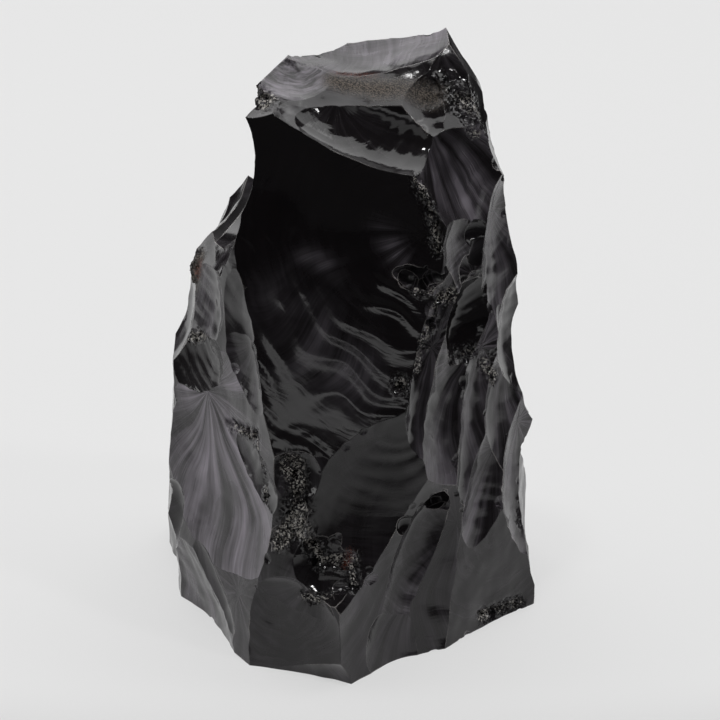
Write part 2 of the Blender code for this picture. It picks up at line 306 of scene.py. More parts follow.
# %% Relief of a floor
SWELLS = [(0.75, 17.0), (0.34, 6.3), (0.12, 2.6)]     # height and width of each, mm
CALM = {"front_face": 0.12, "left_flank": 0.5, "centre_face": 0.4, "front_foot": 0.6}
WOBBLE_WIDTH, WOBBLE_NUMBER = 11.0, 3     # slow noise that shakes the ripples, mm
WOBBLE = 0.8                              # how far it shifts them, in ripples
RIPPLE_MEAN, RIPPLE_VARIES, RIPPLE_MOST = 0.6, 0.9, 1.3     # share of the full height
RIPPLE_START, START_GAPS = 8.0, 1.5       # full height this far out, mm or ripples
SMOOTH_ABOVE_BLOW = ("front_face",)       # ripples only below the blow
SMOOTH_DROP = 14                          # and at full height this far below it, mm
FLUTE_HEIGHT, FLUTE_TURN, FLUTE_LENGTH = 0.10, 0.16, 30.0   # mm, radians, mm


def relief(mark, where):
    """How far each point of a floor is moved outward, in mm."""
    broke = BREAKS.get(mark.name, USUAL)
    far, angle = spread_from_strike(mark, where)
    slow, *quick = [high * waves(where / width, i) for i, (high, width) in enumerate(SWELLS)]
    lift = slow + CALM.get(mark.name, 1) * sum(quick)
    wobble = waves(where / WOBBLE_WIDTH, WOBBLE_NUMBER)
    flute = waves(np.stack([angle / FLUTE_TURN, far / FLUTE_LENGTH, 0 * far], axis=1),
                  len(mark.name))
    turn = 2 * math.pi * (far / broke.gap + WOBBLE * wobble)
    crest = 1 - np.abs(np.sin(turn / 2))
    start = np.clip(far / min(RIPPLE_START, START_GAPS * broke.gap), 0, 1)
    strength = start * np.clip(RIPPLE_MEAN + RIPPLE_VARIES * wobble, 0, RIPPLE_MOST)
    if mark.name in SMOOTH_ABOVE_BLOW:
        drop = broke.struck[2] - where[:, 2]
        strength *= np.clip(drop / SMOOTH_DROP, 0, 1)
    lift += broke.ripple * strength * (1 - 2 * crest)
    lift += FLUTE_HEIGHT * broke.streak * flute * start
    return lift


print("highest swell, mm:", sum(high for high, width in SWELLS))

# %% [markdown]
# ## Cutting
# A cutter is a fine grid bent to the floor of the scoop, with its rim pulled
# outward and closed to a solid flake.  The Manifold solver of the Boolean
# keeps each face's own number, so every face of the stone still knows later
# which cut made it.

# %% Closing and placing a cutter
def in_stone(mark, local):
    """Points of a cutter's own axes as points of the stone, in mm."""
    return np.array(mark.at, float) + local @ np.array([list(d) for d in scar_frame(mark)])


def move_all(verts, local):
    """Moves every vertex to its place of the array."""
    for vert, spot in zip(verts, local):
        vert.co = spot


def raised_rim(bm):
    """Extrudes the open rim and gives the new vertices."""
    rim = [e for e in bm.edges if e.is_boundary]
    made = bmesh.ops.extrude_edge_only(bm, edges=rim)["geom"]
    return [v for v in made if isinstance(v, bmesh.types.BMVert)]


def close_and_place(bm, mark, number):
    """Fills the last open rim, marks every face with the cut's number, and
    moves the cutter from its own axes, in mm, to its place in metres."""
    rim = [e for e in bm.edges if e.is_boundary]
    bmesh.ops.edgenet_fill(bm, edges=rim)
    bmesh.ops.triangulate(bm, faces=bm.faces)
    bmesh.ops.recalc_face_normals(bm, faces=bm.faces)
    cut_number = bm.faces.layers.int.new("cut")
    for face in bm.faces:
        face[cut_number] = number
    along, across, out = scar_frame(mark)
    turned = Matrix((along, across, out)).transposed().to_4x4()
    bm.transform(Matrix.Scale(MM, 4) @ Matrix.Translation(mark.at) @ turned)


# %% Cutter for one side of the block
FINE, COARSE = 0.8, 1.6               # cell of a floor in sight and at the back, mm
FRONT_TURN, TOP_RISE = 100, 30        # floors turned further are at the back, unless on top
BASE_CELL = 40.0                      # the base stays flat, mm
SLAB_MIDDLE, SLAB_HALF = Vector((0, -4, 70)), 105.0     # mm
SLAB_CELLS = 2.5                      # a side has larger cells, because scars cover it


def cell_of(mark):
    """Width of a grid cell, in mm."""
    if mark.name == "base":
        return BASE_CELL
    return FINE if abs(mark.faces[0]) <= FRONT_TURN or mark.faces[1] > TOP_RISE else COARSE


def slab(plane, number):
    """A thick square plate whose underside is the side of the block."""
    out = scar_frame(plane)[2]
    shift = SLAB_MIDDLE - out * (SLAB_MIDDLE - Vector(plane.at)).dot(out)
    plane = plane._replace(at=tuple(shift))
    steps = int(2 * SLAB_HALF / (cell_of(plane) * SLAB_CELLS))
    bm = bmesh.new()
    bmesh.ops.create_grid(bm, x_segments=steps, y_segments=steps, size=SLAB_HALF)
    local = np.array([v.co[:] for v in bm.verts])
    if plane.name != "base":
        local[:, 2] = relief(plane, in_stone(plane, local))
    move_all(bm.verts, local)
    for vert in raised_rim(bm):
        vert.co.z = SLAB_HALF
    close_and_place(bm, plane, number)
    return bm


# %% Cutter for one scoop
RIM = 0.985                           # part of the egg that the grid covers
WIDEST = 64.0                         # half the width of the largest grid, mm
FEWEST = 8                            # cells across the smallest grid
GATHER = 0.7                          # under 1 the cells are finest in the middle
MIRROR_MOST = 0.95                    # part of the reach that the rim may have risen
SHUT, SHUT_WIDTH = 0.7, 0.72          # how the back of a flake closes


def flake(scar, number):
    """An egg whose lower side is the floor of the scoop."""
    long_axis = math.sqrt(scar.bend[0] * scar.reach)
    wide_axis = math.sqrt(scar.bend[1] * scar.reach)
    half_long = min(RIM * long_axis, WIDEST)
    half_wide = min(RIM * wide_axis, WIDEST)
    steps = [max(FEWEST, int(2 * half * GATHER / cell_of(scar))) for half in (half_long, half_wide)]
    bm = bmesh.new()
    bmesh.ops.create_grid(bm, x_segments=steps[0], y_segments=steps[1], size=1)
    flat = np.array([v.co[:] for v in bm.verts])
    flat = GATHER * flat + (1 - GATHER) * flat ** 3
    # The square is rounded to a disc, and the disc is bent to the floor.
    x, y = flat[:, 0], flat[:, 1]
    u = half_long * x * np.sqrt(1 - y * y / 2)
    v = half_wide * y * np.sqrt(1 - x * x / 2)
    w = scar.reach * (1 - np.sqrt(1 - (u / long_axis) ** 2 - (v / wide_axis) ** 2))
    local = np.stack([u, v, w], axis=1)
    local[:, 2] += relief(scar, in_stone(scar, local))
    move_all(bm.verts, local)
    for vert in raised_rim(bm):
        vert.co.z = scar.reach * (2 - min(vert.co.z / scar.reach, MIRROR_MOST))
    for vert in raised_rim(bm):
        vert.co = (vert.co.x * SHUT_WIDTH, vert.co.y * SHUT_WIDTH, scar.reach * (1 + SHUT))
    close_and_place(bm, scar, number)
    return bm


# %% Taking a flake off
def add_object(name, bm):
    """Turns a bmesh into an object of the scene."""
    mesh = bpy.data.meshes.new(name)
    bm.to_mesh(mesh)
    bm.free()
    thing = bpy.data.objects.new(name, mesh)
    bpy.context.scene.collection.objects.link(thing)
    return thing


def take_off(stone, bm):
    """Cuts the solid `bm` from the stone."""
    cutter = add_object("flake", bm)
    cut = stone.modifiers.new("strike", 'BOOLEAN')
    cut.operation = 'DIFFERENCE'
    cut.solver = 'MANIFOLD'
    cut.object = cutter
    with bpy.context.temp_override(object=stone, active_object=stone):
        bpy.ops.object.modifier_apply(modifier=cut.name)
    shape = cutter.data
    bpy.data.objects.remove(cutter)
    bpy.data.meshes.remove(shape)


# %% Knap the stone
BLOCK_SIZE, BLOCK_MIDDLE = (100, 110, 150), (0, -4, 72)     # mm
block = bmesh.new()
bmesh.ops.create_cube(block, size=1)
bmesh.ops.scale(block, vec=Vector(BLOCK_SIZE) * MM, verts=block.verts)
bmesh.ops.translate(block, vec=Vector(BLOCK_MIDDLE) * MM, verts=block.verts)
block.faces.layers.int.new("cut")
stone = add_object("knapped_glass", block)

CUTS = BLANK + SCARS
for number, mark in enumerate(CUTS):
    cutter = slab(mark, number) if mark in BLANK else flake(mark, number)
    take_off(stone, cutter)
print("faces after the main cuts:", len(stone.data.polygons))

# %% [markdown]
# ## Chips
# A glass edge never stays whole.  Each knock takes a small flake off one of
# the two faces beside the edge, deepest at the edge itself.  The chips are
# struck at random places of the ridges, with a fixed seed.  Those that don't
# touch are cut off together, which saves time.

# %% Where a chip can start
SHARP_RIDGE = math.radians(36)
SLIVER = 0.02 * MM * MM               # smaller faces have no sure direction
Spot = namedtuple("Spot", "middle face other length")


def ridge_spots(stone):
    """Every sharp outer edge, with the directions of the faces beside it."""
    bm = bmesh.new()
    bm.from_mesh(stone.data)
    cut_number = bm.faces.layers.int["cut"]
    spots = []
    for edge in bm.edges:
        if len(edge.link_faces) == 2 and edge.calc_face_angle_signed(0) > SHARP_RIDGE:
            a, b = edge.link_faces
            if a[cut_number] != b[cut_number] and min(a.calc_area(), b.calc_area()) > SLIVER:
                middle = (edge.verts[0].co + edge.verts[1].co) / 2
                spots.append(Spot(middle / MM, a.normal.copy(), b.normal.copy(),
                                  edge.calc_length()))
    bm.free()
    return spots


print("sharp edges on the ridges:", len(ridge_spots(stone)))

# %% One chip
SEED = 7
rng = np.random.default_rng(SEED)
FEW_LONG = 2.6                        # a higher power leaves fewer long chips
CHIP_DEPTH = (0.05, 0.11)             # part of its length
CHIP_TILT = (0.15, 0.5)               # how far its floor turns toward the other face
CHIP_SKEW = (-0.7, 0.7)               # how far it runs along the ridge
CHIP_SHORTNESS = (0.35, 0.9)          # its cross bend as part of its long bend
INWARD = 0.3                          # part of its length between ridge and middle
CLEAR, CLEAR_DEPTHS = 3.0, 2.5        # least reach, so that no roof stays over it: mm, depths


def chip(spot, number, shortest, longest):
    """A small scar beside a ridge."""
    face, other = (spot.face, spot.other) if rng.random() < 0.5 else (spot.other, spot.face)
    length = shortest + (longest - shortest) * rng.random() ** FEW_LONG
    depth = length * rng.uniform(*CHIP_DEPTH)
    out = (face + other * rng.uniform(*CHIP_TILT)).normalized()
    inward = (face * face.dot(other) - other).normalized()
    skew = out.cross(inward) * rng.uniform(*CHIP_SKEW)
    inward = (inward - out * inward.dot(out) + skew).normalized()
    turn, rise = math.atan2(out.x, -out.y), math.asin(out.z)
    mark = Scar("chip %d" % number, (0, 0, 0), (math.degrees(turn), math.degrees(rise)),
                (0, 0), 0, 0)
    side = Vector((math.cos(turn), math.sin(turn), 0))
    up = scar_frame(mark)[0]
    lean = math.degrees(math.atan2(inward.dot(side), inward.dot(up)))
    radius = length * length / (8 * depth)
    middle = spot.middle + inward * INWARD * length - out * depth
    return mark._replace(at=tuple(middle), bend=(radius, radius * rng.uniform(*CHIP_SHORTNESS)),
                         lean=lean, reach=max(CLEAR, CLEAR_DEPTHS * depth))


# %% Many chips
CHIP_RIPPLE, CHIP_GAP = 0.05, (0.9, 2.0)                  # mm
CHIP_SATIN, CHIP_STREAK = (0.05, 0.85), (0.2, 0.9)
APART = 1.1                           # chips of one batch lie this many sizes apart
Knock = namedtuple("Knock", "middle size mark number")


def strike(stone, count, shortest, longest, first):
    """Chooses `count` chips, whose cuts are numbered from `first`."""
    spots = ridge_spots(stone)
    weights = np.array([s.length for s in spots])
    knocks = []
    for index in rng.choice(len(spots), count, p=weights / weights.sum()):
        number = first + len(knocks)
        mark = chip(spots[index], number, shortest, longest)
        BREAKS[mark.name] = Break(tuple(spots[index].middle), CHIP_RIPPLE, rng.uniform(*CHIP_GAP),
                                  rng.uniform(*CHIP_SATIN), rng.uniform(*CHIP_STREAK))
        size = math.sqrt(mark.bend[0] * mark.reach)
        knocks.append(Knock(Vector(mark.at), size, mark, number))
    return knocks


def batched(knocks):
    """Puts each chip into the first batch that it touches nothing of."""
    batches = []
    for knock in knocks:
        for batch in batches:
            if all((knock.middle - other.middle).length > APART * (knock.size + other.size)
                   for other in batch):
                batch.append(knock)
                break
        else:
            batches.append([knock])
    return batches


# %% Knock the chips off
CHIPPING = [(190, 1.5, 6.0), (280, 0.9, 2.6)]     # how many, shortest and longest in mm
for count, shortest, longest in CHIPPING:
    knocks = strike(stone, count, shortest, longest, len(CUTS))
    batches = batched(knocks)
    for batch in batches:
        together = bmesh.new()
        for knock in batch:
            one = flake(knock.mark, knock.number)
            shape = bpy.data.meshes.new("chip")
            one.to_mesh(shape)
            one.free()
            together.from_mesh(shape)
            bpy.data.meshes.remove(shape)
        take_off(stone, together)
    CUTS = CUTS + [knock.mark for knock in knocks]
    print(count, "chips in", len(batches), "batches; faces:", len(stone.data.polygons))

# %% [markdown]
# ## Crushed ground
# Where many blows met, the glass is crushed to a crumble of tiny facets.  It
# follows some ridges like a bruise.  Each bruise is a thick line between two
# points in mm.  The mesh is split finer there and pushed in and out.

# %% Bruises
Bruise = namedtuple("Bruise", "start end radius depth")
BRUISES = [
    Bruise((-12.4, -38.8, 53.9), (-11, -43, 44.8), 4.5, 0.7),      # heart of the front
    Bruise((-11, -43, 44.8), (-15.4, -41.8, 34.2), 3.4, 0.7),
    Bruise((-11, -43, 41), (-6, -40.8, 29.2), 3.4, 0.6),
    Bruise((-6, -40.8, 29.2), (1.5, -41.4, 29.5), 3.0, 0.5),
    Bruise((1.5, -41.4, 29.5), (2.2, -43.7, 24.1), 2.2, 0.5),
    Bruise((-10, -44, 21), (-4, -45, 21), 2.2, 0.5),
    Bruise((-19, -12, 136), (-17, -14, 130), 4.5, 0.7),            # left end of the crown
    Bruise((22, -3, 133), (30, -4, 128), 6.0, 0.3),                # right end of the crown
    Bruise((18, -6, 130), (30, -7, 124), 3.0, 0.5),
    Bruise((17, -26, 119), (19.4, -26.4, 114.3), 3.0, 0.6),        # right rim of the face
    Bruise((19.4, -26.4, 114.3), (21.2, -30, 103.5), 2.4, 0.6),
    Bruise((19.6, -26.7, 88.5), (24.3, -23.2, 89.5), 3.2, 0.5),
    Bruise((16.5, -30.8, 94.2), (23, -27.5, 93), 2.6, 0.4),
    Bruise((20, -27, 84), (16.2, -30.7, 75), 3.8, 0.7),
    Bruise((16.2, -30.7, 75), (12.6, -37.3, 72.9), 3.0, 0.7),
    Bruise((27, -18, 73), (30, -15, 72), 2.6, 0.6),
    Bruise((33, -13, 68), (36, -10, 62), 2.6, 0.5),                # right blades
    Bruise((42, -8, 40), (44, -8, 22), 2.4, 0.5),
    Bruise((34, -21, 3), (43, -12, 2), 3.0, 0.6),                  # right heel
    Bruise((-27.6, -20.7, 54.9), (-20.5, -32, 57.1), 2.4, 0.6),    # left ledge
    Bruise((-20.5, -32, 57), (-19, -35.7, 42.4), 1.5, 0.4),
    Bruise((-36, -4, 92), (-39, 1, 78), 3.6, 0.4),                 # left rim
    Bruise((-34, -12, 74), (-38, -2, 70), 2.2, 0.5),
]
print(len(BRUISES), "bruises")


def closeness(bruise, where):
    """1 on the middle line of a bruise, falling to 0 at its radius."""
    start, end = np.array(bruise.start, float), np.array(bruise.end, float)
    run = end - start
    part = np.clip((where - start) @ run / (run @ run), 0, 1)
    gap = np.linalg.norm(where - start - part[:, None] * run, axis=1)
    fall = np.clip(1 - gap / bruise.radius, 0, 1)
    return fall * fall * (3 - 2 * fall)


def bruised(points):
    """How bruised each point is, and how deep the strongest bruise there is."""
    all_close = np.array([closeness(b, points) for b in BRUISES])
    depths = np.array([b.depth for b in BRUISES])
    return all_close.max(axis=0), depths[all_close.argmax(axis=0)]


# %% Crumbs
CRUMB, FINE_CRUMB, FINE_SHARE = 2.4, 0.42, 0.6    # width in mm; finer ones, as parts of it
TILT_SEED, STEP_SEED = 91.7, 57.3     # keep tilt and step apart
TILT, STEP = 1.7, 0.45                # how uneven the facets are


def crumble(point, width):
    """Height of one crumbled spot: every cell is a small tilted facet."""
    gaps, centres = noise.voronoi(point / width)
    middle = centres[0]
    tilt = noise.cell_vector(middle * TILT_SEED) - Vector((0.5, 0.5, 0.5))
    step = noise.cell(middle * STEP_SEED) - 0.5
    return width * (tilt.dot(point / width - middle) * TILT + step * STEP)


# %% Crush the glass along the bruises
CRUSH_CELL = 0.45                     # longest edge in crushed ground, mm
CRUSH_ROUNDS = 3                      # each halves the long edges
TOUCHED = 0.02                        # least closeness that counts
KEEP_BASE = 0.4                       # the base stays flat up to this height, mm
SINK = 0.25                           # crushed ground lies a little lower


def points_of(bm):
    return np.array([v.co[:] for v in bm.verts]) / MM


bm = bmesh.new()
bm.from_mesh(stone.data)
bmesh.ops.triangulate(bm, faces=bm.faces)
for _ in range(CRUSH_ROUNDS):
    close, depth = bruised(points_of(bm))
    long_edges = [e for e in bm.edges if e.calc_length() > CRUSH_CELL * MM
                  and all(close[v.index] > TOUCHED for v in e.verts)]
    bmesh.ops.subdivide_edges(bm, edges=long_edges, cuts=1)
    bm.verts.index_update()
bmesh.ops.triangulate(bm, faces=[f for f in bm.faces if len(f.verts) > 4])
bm.normal_update()
points = points_of(bm)
close, depth = bruised(points)
for vert in bm.verts:
    i = vert.index
    if close[i] > TOUCHED and vert.co.z > KEEP_BASE * MM:
        point = Vector(points[i])
        rough = crumble(point, CRUMB) + FINE_SHARE * crumble(point, CRUMB * FINE_CRUMB)
        vert.co += vert.normal * (depth[i] * close[i] * (rough - SINK) * MM)
bm.to_mesh(stone.data)
bm.free()
print("faces after crushing:", len(stone.data.polygons))

# %% [markdown]
# ## What the finish needs to know
# The material can't see how a scar broke, so the mesh tells it.  Three vectors
# are stored for every corner of every face.  `spread` is how far the corner
# lies from the struck point, in which direction, and a number that makes each
# scar's pattern its own.  `finish` is how satin, streaked and crushed the
# glass is there.  `skin` is how much crust and how much rust lies on it.

# %% Patches
Patch = namedtuple("Patch", "start end radius")
CRUSTS = [                             # matte grey-brown skin left on the glass
    Patch((-3, -4, 135), (7, -6, 134), 4.2),
    Patch((7, -6, 134), (20, -6, 132), 5.0),
    Patch((-35, -4, 91), (-38, 0, 80), 3.2),
]
RUSTS = [                              # reddish iron stain
    Patch((-3, -1, 135), (7, -2, 135), 2.2),
    Patch((1, -41, 31), (0, -41, 28), 1.6),
    Patch((-35, -5, 90), (-36, -3, 86), 2.0),
]
SILKS = [                              # rough silk inside a smooth face
    Patch((8, -26, 108), (12, -28, 101), 6),
    Patch((-9, -25, 100), (-3, -26, 96), 6),
    Patch((-12, -28, 85), (0, -34, 72), 19),
]
print(len(CRUSTS), "crusts,", len(RUSTS), "rust stains and", len(SILKS), "patches of silk")


def most_of(patches, where):
    """How close each point is to the nearest patch, 1 on its middle line."""
    return np.max([closeness(p, where) for p in patches], axis=0)


# %% Store the break on the mesh
PATTERN_STEP = 7.3                    # shifts the pattern from one scar to the next
SILK_SATIN, SILK_STREAK = 0.50, 0.25  # what a patch of silk adds


def corner_values(mesh):
    """Place and cut number of every face corner."""
    places = np.empty(len(mesh.vertices) * 3)
    mesh.vertices.foreach_get("co", places)
    corners = np.empty(len(mesh.loops), int)
    mesh.loops.foreach_get("vertex_index", corners)
    cut = np.empty(len(mesh.polygons), int)
    mesh.attributes["cut"].data.foreach_get("value", cut)
    sides = np.empty(len(mesh.polygons), int)
    mesh.polygons.foreach_get("loop_total", sides)
    return places.reshape(-1, 3)[corners] / MM, np.repeat(cut, sides)


mesh = stone.data
where, cut = corner_values(mesh)
stored = {name: np.zeros((len(where), 3)) for name in ("spread", "finish", "skin")}
for number, mark in enumerate(CUTS):
    mine = cut == number
    broke = BREAKS.get(mark.name, USUAL)
    far, angle = spread_from_strike(mark, where[mine])
    shift = np.full(mine.sum(), number * PATTERN_STEP)
    stored["spread"][mine] = np.stack([far, angle, shift], axis=1)
    stored["finish"][mine, :2] = broke.satin, broke.streak
silky = most_of(SILKS, where)
stored["finish"][:, 0] = np.clip(stored["finish"][:, 0] + SILK_SATIN * silky, 0, 1)
stored["finish"][:, 1] = np.clip(stored["finish"][:, 1] + SILK_STREAK * silky, 0, 1)
stored["finish"][:, 2] = most_of(BRUISES, where)
stored["skin"][:, 0] = most_of(CRUSTS, where)
stored["skin"][:, 1] = most_of(RUSTS, where)
for name, values in stored.items():
    layer = mesh.attributes.new(name, 'FLOAT_VECTOR', 'CORNER')
    layer.data.foreach_set("vector", np.ascontiguousarray(values, np.float32).ravel())
print(len(where), "corners stored")

# %% [markdown]
# ## Smooth floors, sharp ridges
# A floor is shaded smooth.  An edge between two cuts is a real ridge and has
# to stay sharp, and so is a steep edge inside crushed ground.

# %% Shading
RIDGE, CRUMB_EDGE = math.radians(4), math.radians(32)
bm = bmesh.new()
bm.from_mesh(mesh)
cut_number = bm.faces.layers.int["cut"]
for face in bm.faces:
    face.smooth = True
for edge in bm.edges:
    if len(edge.link_faces) != 2:
        continue
    a, b = edge.link_faces
    limit = CRUMB_EDGE if a[cut_number] == b[cut_number] else RIDGE
    edge.smooth = edge.calc_face_angle(0) < limit
bm.to_mesh(mesh)
print("volume in cm3:", round(bm.calc_volume() * 1e6, 1))
bm.free()

# %% [markdown]
# ## The glass
# Obsidian is rhyolite glass: almost black because of fine iron oxide, with an
# index of refraction of about 1.49, so it mirrors only a twenty-fifth of the
# light that meets it straight on.  All that the eye reads are those
# reflections.  On a mirror scar they are sharp and mostly dark, on a satin
# scar microscopic streaks spread them to a grey silk.
#
# An image of a stone would stretch over the deep scoops.  So the finish is
# made of noise that runs along each scar's own distance and angle, which the
# mesh has stored.

# %% Node helpers
def linear(code):
    """Linear colour of an sRGB hex code."""
    parts = [int(code[i:i + 2], 16) / 255 for i in (1, 3, 5)]
    return tuple(p / 12.92 if p <= 0.04045 else ((p + 0.055) / 1.055) ** 2.4
                 for p in parts) + (1.0,)


def add(tree, kind, settings=None, **links):
    """Adds a node and gives its first output.

    A link is input=socket or input=value; `i2` means the input number 2.  Of a
    RANGE node, i1 and i2 are the range that comes in, i3 and i4 the one out."""
    node = tree.nodes.new(kind)
    for key, value in (settings or {}).items():
        setattr(node, key, value)
    for key, value in links.items():
        slot = node.inputs[int(key[1:]) if key[1:].isdigit() else key.replace("_", " ")]
        if isinstance(value, bpy.types.NodeSocket):
            tree.links.new(value, slot)
        else:
            slot.default_value = value
    return node.outputs[0] if node.outputs else node


TIMES, PLUS, LESS = ({"operation": o} for o in ('MULTIPLY', 'ADD', 'SUBTRACT'))
TIMES_PLUS = {"operation": 'MULTIPLY_ADD'}
CLAMPED = {"clamp": True}
EASED = {"interpolation_type": 'SMOOTHSTEP'}
COLOURS = {"data_type": 'RGBA'}
MATH, RANGE, MIX = 'ShaderNodeMath', 'ShaderNodeMapRange', 'ShaderNodeMix'
VECTORS, COORDINATES = 'ShaderNodeVectorMath', 'ShaderNodeTexCoord'
NOISE, CELLS = 'ShaderNodeTexNoise', 'ShaderNodeTexVoronoi'
JOIN, SPLIT = 'ShaderNodeCombineXYZ', 'ShaderNodeSeparateXYZ'
STORED = 'ShaderNodeAttribute'
print("black of the glass, linear:", [round(c, 4) for c in linear("#131112")])

# %% Black volcanic glass: what the mesh stores
glass = bpy.data.materials.new("volcanic glass, broken")
glass.use_nodes = True
tree = glass.node_tree
tree.nodes.clear()

split = []
for name in stored:
    vector = add(tree, STORED, {"attribute_name": name}).node.outputs["Vector"]
    split.append(add(tree, SPLIT, Vector=vector).node.outputs)
(far, angle, seed), (satin, streak, crushed), (crust, rust, _) = split
here = add(tree, COORDINATES).node.outputs["Object"]
print("stored on the mesh:", *stored)

# %% Black volcanic glass: streaks
# Slow clouds 18 mm wide decide where the break turned rough.
CLOUDS_PER_M = 55.0
clouds = add(tree, NOISE, Vector=here, Scale=CLOUDS_PER_M, Detail=3.0, Roughness=0.55)
rough_here = add(tree, RANGE, CLAMPED, Value=clouds, i1=0.38, i2=0.62, i3=0.25, i4=1.0)
# Streaks run away from the blow.  A broad one is 13 degrees wide and 40 mm
# long, a hair is 1 degree wide and 12 mm long, and a slow warp bends both.
STREAK_LENGTH, STREAKS_PER_RADIAN = 40, 4.5
HAIR_LENGTH, HAIRS_PER_RADIAN = 12, 55.0
WARPS_PER_M, WARP_TURN = 35.0, 0.8    # 29 mm wide, turned by up to this many radians
warp = add(tree, NOISE, Vector=here, Scale=WARPS_PER_M, Detail=0.0)
bent = add(tree, MATH, TIMES_PLUS, i0=warp, i1=WARP_TURN, i2=angle)
streak_place = add(tree, JOIN, X=add(tree, MATH, TIMES, i0=far, i1=1 / STREAK_LENGTH),
                   Y=add(tree, MATH, TIMES, i0=bent, i1=STREAKS_PER_RADIAN), Z=seed)
streaks = add(tree, NOISE, Vector=streak_place, Scale=1.0, Detail=2.0, Roughness=0.55)
hair_place = add(tree, JOIN, X=add(tree, MATH, TIMES, i0=far, i1=1 / HAIR_LENGTH),
                 Y=add(tree, MATH, TIMES, i0=bent, i1=HAIRS_PER_RADIAN), Z=seed)
hairs = add(tree, NOISE, Vector=hair_place, Scale=1.0, Detail=2.0, Roughness=0.6)

# %% Black volcanic glass: fine ripples
# They cross the streaks every 1.1 mm, shaken by a noise 11 mm wide.
RIPPLE_GAP, RIPPLES_PER_RADIAN = 1.1, 1.5
SHAKES_PER_M, SHAKEN = 90.0, 5.0      # shifted by up to this many ripples
shake = add(tree, NOISE, Vector=here, Scale=SHAKES_PER_M, Detail=2.0)
ripple_far = add(tree, MATH, TIMES_PLUS, i0=shake, i1=SHAKEN,
                 i2=add(tree, MATH, TIMES, i0=far, i1=1 / RIPPLE_GAP))
ripple_place = add(tree, JOIN, X=ripple_far,
                   Y=add(tree, MATH, TIMES, i0=angle, i1=RIPPLES_PER_RADIAN), Z=seed)
ripples = add(tree, NOISE, Vector=ripple_place, Scale=1.0, Detail=2.0, Roughness=0.6)

# %% Black volcanic glass: grains
# Crushed glass breaks into flat tilted grains of 0.7 mm: each cell of the
# pattern has a random slope.  The crust has grains of 0.15 mm, drawn 0.4 mm
# wide so that they show.
FACETS_PER_M, GRAINS_PER_M = 1400.0, 2600.0
cells = add(tree, CELLS, {"feature": 'F1'}, Vector=here, Scale=FACETS_PER_M).node
slope = add(tree, VECTORS, LESS, i0=cells.outputs["Color"], i1=(0.5, 0.5, 0.5))
offset = add(tree, VECTORS, LESS, i0=here, i1=cells.outputs["Position"])
grit = add(tree, VECTORS, {"operation": 'DOT_PRODUCT'}, i0=slope, i1=offset).node.outputs["Value"]
grains = add(tree, NOISE, Vector=here, Scale=GRAINS_PER_M, Detail=2.0)

# %% Black volcanic glass: height
# Each pattern comes with the places where it shows and its height in mm.  The
# grit is a slope times metres, so it's turned to mm and made 2.4 times as steep.
GRIT_HEIGHT = 2.4 / MM
rows = add(tree, MATH, TIMES, i0=streak, i1=rough_here)
LAYERS = [(streaks, rows, 0.13), (hairs, rows, 0.010), (ripples, rough_here, 0.06),
          (grit, crushed, GRIT_HEIGHT), (grains, crust, 0.30)]
height = 0.0
for pattern, shown, high in LAYERS:
    part = add(tree, MATH, TIMES, i0=pattern, i1=shown)
    height = add(tree, MATH, PLUS, i0=height, i1=add(tree, MATH, TIMES, i0=part, i1=high))
# An edge of glass is never quite sharp: it is rounded over a third of a mm.
EDGE_RADIUS = 0.35 * MM
worn = add(tree, 'ShaderNodeBevel', {"samples": 6}, Radius=EDGE_RADIUS)
bump = add(tree, 'ShaderNodeBump', Strength=1.0, Distance=MM, Height=height, Normal=worn)

# %% Black volcanic glass: roughness
POLISH, SATIN_ROUGH, CRUST_ROUGH = 0.06, 0.42, 0.75
CRUSHED_ROUGH = 0.05                  # what crushing adds
HAIR_SHARE = 0.22
fibre = add(tree, MIX, Factor=HAIR_SHARE, A=streaks, B=hairs)
# Where the streaks are weak, the silk lies in rings instead.
ringed = add(tree, RANGE, CLAMPED, Value=streak, i1=0.15, i2=0.45, i3=0.75, i4=0.0)
fibre = add(tree, MIX, Factor=ringed, A=fibre, B=ripples)
silk = add(tree, MATH, TIMES, i0=satin, i1=add(
    tree, RANGE, CLAMPED, Value=fibre, i1=0.36, i2=0.62, i3=0.35, i4=1.15))
silk = add(tree, MATH, TIMES, i0=silk, i1=rough_here)
rough = add(tree, RANGE, CLAMPED, Value=silk, i1=0.0, i2=1.0, i3=POLISH, i4=SATIN_ROUGH)
rough = add(tree, MATH, PLUS, i0=rough, i1=add(
    tree, MATH, TIMES, i0=crushed, i1=CRUSHED_ROUGH))
rough = add(tree, MIX, Factor=crust, A=rough, B=CRUST_ROUGH)

# %% Black volcanic glass: painted sheen, and worn edges with a painted highlight
# Satin scars get a grey-mauve sheen painted into their colour along the streaks, in place of the
# silk of light that their splinters spread.
painted_sheen = add(tree, MATH, TIMES, i0=add(tree, MATH, TIMES, i0=silk, i1=satin), i1=add(
    tree, RANGE, CLAMPED, Value=fibre, i1=0.38, i2=0.70, i3=0.05, i4=0.8))
# A worn edge is a broken line of powdered glass, where the rounded normal
# turns away from the true one.  Its light colour is partly that powder and
# partly a painted highlight, for light that catches the ridge.
true_normal = add(tree, 'ShaderNodeNewGeometry').node.outputs["Normal"]
turned = add(tree, VECTORS, {"operation": 'DOT_PRODUCT'}, i0=worn,
             i1=true_normal).node.outputs["Value"]
edge = add(tree, RANGE, CLAMPED, Value=turned, i1=0.995, i2=0.94, i3=0.0, i4=1.0)
edge = add(tree, MATH, TIMES, i0=edge, i1=add(
    tree, RANGE, CLAMPED, Value=shake, i1=0.50, i2=0.66, i3=0.0, i4=1.0))
edge = add(tree, MATH, TIMES, i0=edge, i1=add(
    tree, RANGE, CLAMPED, Value=crushed, i1=0.0, i2=0.3, i3=1.0, i4=0.15))
